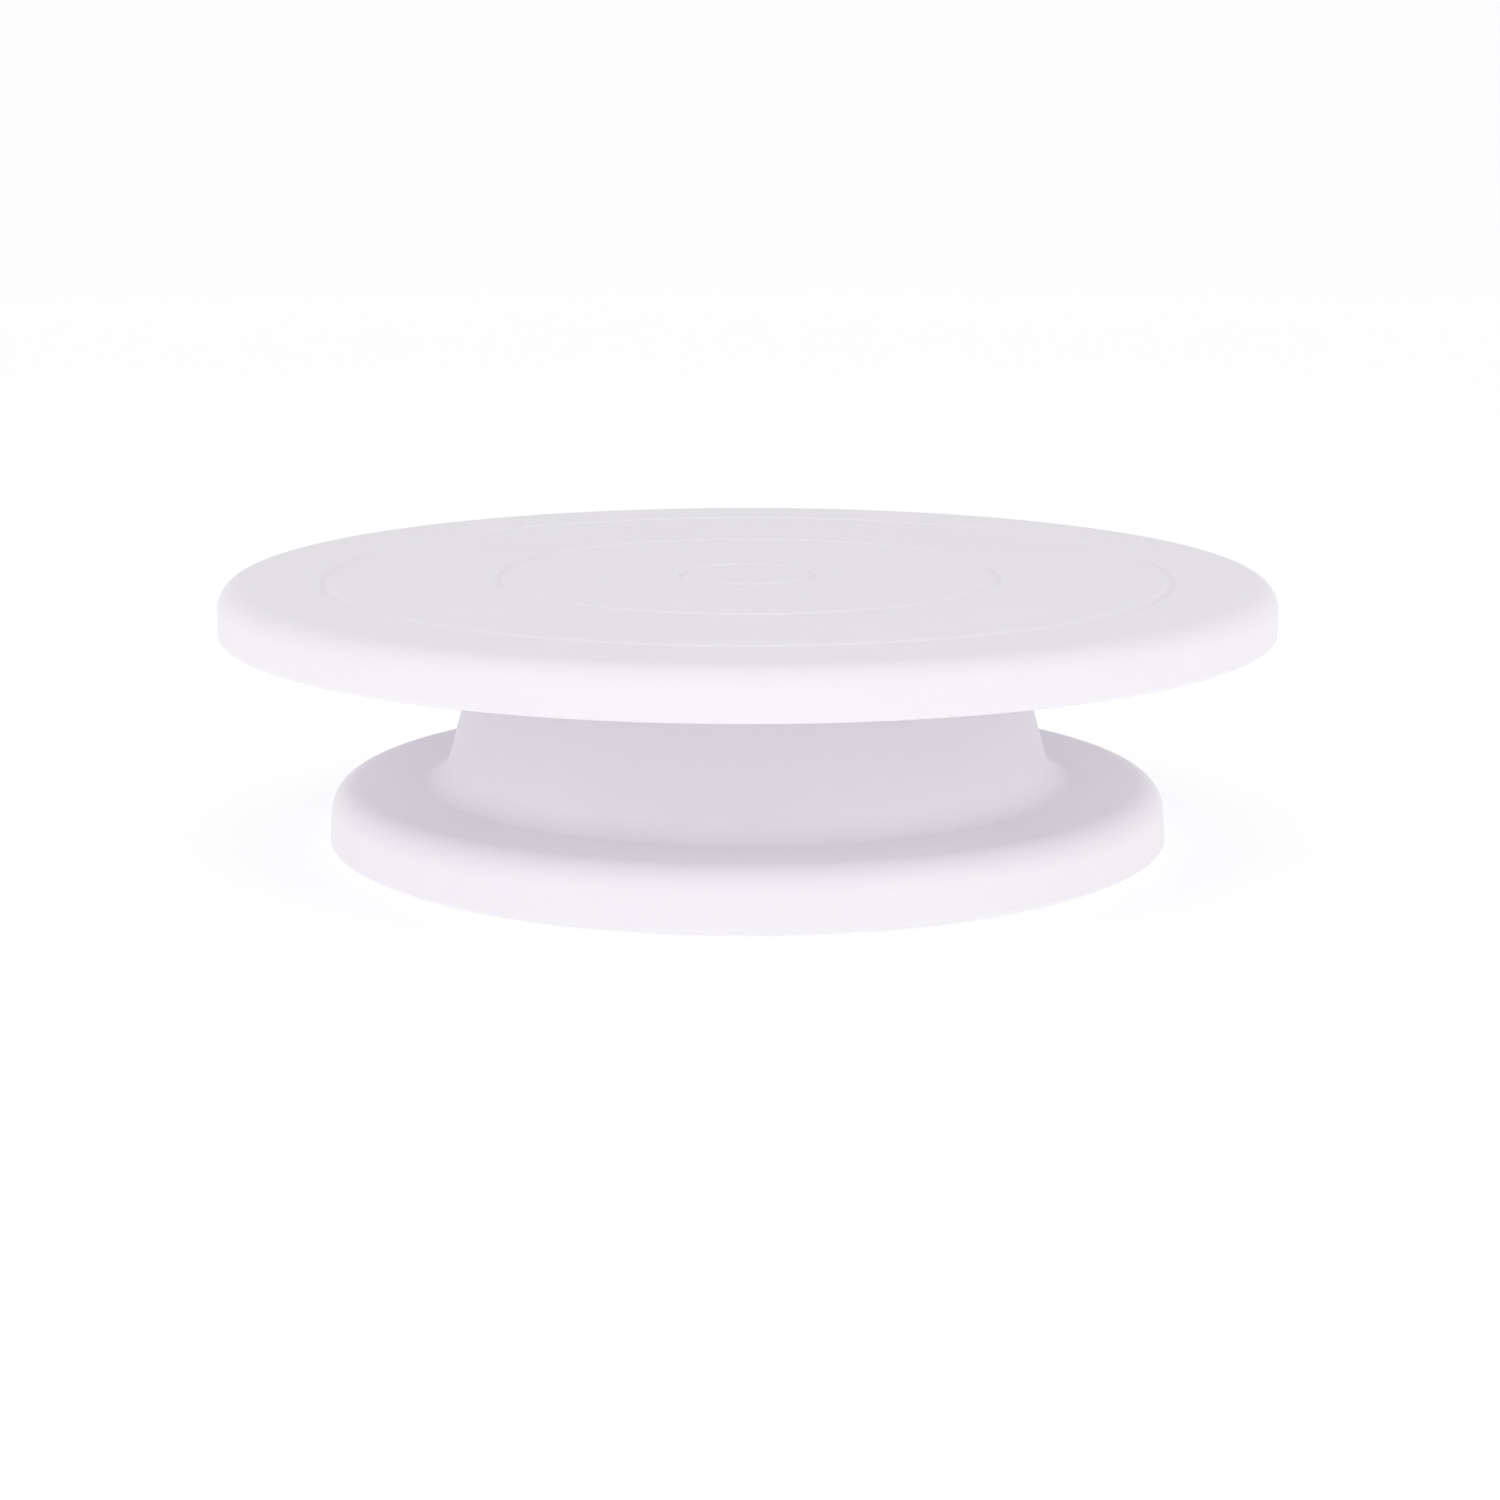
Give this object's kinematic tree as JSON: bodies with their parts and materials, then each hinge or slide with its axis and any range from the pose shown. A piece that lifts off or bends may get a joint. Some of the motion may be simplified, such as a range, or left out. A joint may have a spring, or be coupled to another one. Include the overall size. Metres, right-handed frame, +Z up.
{
  "type": "cake turntable",
  "caption": "Round cake turntable: a moulded white plate with fine ring grooves turns on a ball bearing over a flared, necked base on rubber feet.",
  "frame": {"origin": "on the axis of rotation, in the plane that the rubber feet rest on", "axes": "+Z up along the axis of rotation, +X and +Y across the plate"},
  "size_m": [0.28, 0.28, 0.071],
  "materials": {
    "moulded_white": "satin white injection moulding",
    "acetal": "natural acetal",
    "nylon": "natural nylon",
    "pressed_steel": "pressed and ground",
    "bearing_steel": "polished balls",
    "turned_steel": "fine turned",
    "zinc_steel": "zinc plated",
    "foot_rubber": "matt grey rubber"
  },
  "bodies": {
    "base": {"base_body": "moulded_white", "lower_race": "pressed_steel", "spindle_bush": "acetal", "bottom_cap": "moulded_white", "rubber_foot_1": "foot_rubber", "rubber_foot_2": "foot_rubber", "rubber_foot_3": "foot_rubber", "rubber_foot_4": "foot_rubber", "rubber_foot_5": "foot_rubber", "rubber_foot_6": "foot_rubber"},
    "plate": {"turntable_plate": "moulded_white", "upper_race": "pressed_steel", "spindle": "turned_steel", "thrust_washer": "nylon", "retaining_washer": "zinc_steel", "retaining_screw": "zinc_steel"},
    "cage": {"ball_cage": "acetal"},
    "ball_01": {"bearing_ball_01": "bearing_steel"},
    "ball_02": {"bearing_ball_02": "bearing_steel"},
    "ball_03": {"bearing_ball_03": "bearing_steel"},
    "ball_04": {"bearing_ball_04": "bearing_steel"},
    "ball_05": {"bearing_ball_05": "bearing_steel"},
    "ball_06": {"bearing_ball_06": "bearing_steel"},
    "ball_07": {"bearing_ball_07": "bearing_steel"},
    "ball_08": {"bearing_ball_08": "bearing_steel"},
    "ball_09": {"bearing_ball_09": "bearing_steel"},
    "ball_10": {"bearing_ball_10": "bearing_steel"},
    "ball_11": {"bearing_ball_11": "bearing_steel"},
    "ball_12": {"bearing_ball_12": "bearing_steel"}
  },
  "joints": [
    {"name": "plate_spin", "type": "hinge", "parent": "base", "child": "plate", "pos_m": [0, 0, 0.0505], "axis": [0, 0, 1], "continuous": true},
    {"name": "cage_spin", "type": "hinge", "parent": "base", "child": "cage", "pos_m": [0, 0, 0.061], "axis": [0, 0, 1], "continuous": true},
    {"name": "ball_01_roll", "type": "hinge", "parent": "cage", "child": "ball_01", "pos_m": [0.05, 0, 0.061], "axis": [1, 0, 0], "continuous": true},
    {"name": "ball_02_roll", "type": "hinge", "parent": "cage", "child": "ball_02", "pos_m": [0.0433, 0.025, 0.061], "axis": [0.866, 0.5, 0], "continuous": true},
    {"name": "ball_03_roll", "type": "hinge", "parent": "cage", "child": "ball_03", "pos_m": [0.025, 0.0433, 0.061], "axis": [0.5, 0.866, 0], "continuous": true},
    {"name": "ball_04_roll", "type": "hinge", "parent": "cage", "child": "ball_04", "pos_m": [0, 0.05, 0.061], "axis": [0, 1, 0], "continuous": true},
    {"name": "ball_05_roll", "type": "hinge", "parent": "cage", "child": "ball_05", "pos_m": [-0.025, 0.0433, 0.061], "axis": [-0.5, 0.866, 0], "continuous": true},
    {"name": "ball_06_roll", "type": "hinge", "parent": "cage", "child": "ball_06", "pos_m": [-0.0433, 0.025, 0.061], "axis": [-0.866, 0.5, 0], "continuous": true},
    {"name": "ball_07_roll", "type": "hinge", "parent": "cage", "child": "ball_07", "pos_m": [-0.05, 0, 0.061], "axis": [-1, 0, 0], "continuous": true},
    {"name": "ball_08_roll", "type": "hinge", "parent": "cage", "child": "ball_08", "pos_m": [-0.0433, -0.025, 0.061], "axis": [-0.866, -0.5, 0], "continuous": true},
    {"name": "ball_09_roll", "type": "hinge", "parent": "cage", "child": "ball_09", "pos_m": [-0.025, -0.0433, 0.061], "axis": [-0.5, -0.866, 0], "continuous": true},
    {"name": "ball_10_roll", "type": "hinge", "parent": "cage", "child": "ball_10", "pos_m": [0, -0.05, 0.061], "axis": [0, -1, 0], "continuous": true},
    {"name": "ball_11_roll", "type": "hinge", "parent": "cage", "child": "ball_11", "pos_m": [0.025, -0.0433, 0.061], "axis": [0.5, -0.866, 0], "continuous": true},
    {"name": "ball_12_roll", "type": "hinge", "parent": "cage", "child": "ball_12", "pos_m": [0.0433, -0.025, 0.061], "axis": [0.866, -0.5, 0], "continuous": true}
  ],
  "couplings": [
    {"joint": "cage_spin", "follows": "plate_spin", "ratio": 0.5},
    {"joint": "ball_01_roll", "follows": "plate_spin", "ratio": -8.3333},
    {"joint": "ball_02_roll", "follows": "plate_spin", "ratio": -8.3333},
    {"joint": "ball_03_roll", "follows": "plate_spin", "ratio": -8.3333},
    {"joint": "ball_04_roll", "follows": "plate_spin", "ratio": -8.3333},
    {"joint": "ball_05_roll", "follows": "plate_spin", "ratio": -8.3333},
    {"joint": "ball_06_roll", "follows": "plate_spin", "ratio": -8.3333},
    {"joint": "ball_07_roll", "follows": "plate_spin", "ratio": -8.3333},
    {"joint": "ball_08_roll", "follows": "plate_spin", "ratio": -8.3333},
    {"joint": "ball_09_roll", "follows": "plate_spin", "ratio": -8.3333},
    {"joint": "ball_10_roll", "follows": "plate_spin", "ratio": -8.3333},
    {"joint": "ball_11_roll", "follows": "plate_spin", "ratio": -8.3333},
    {"joint": "ball_12_roll", "follows": "plate_spin", "ratio": -8.3333}
  ]
}
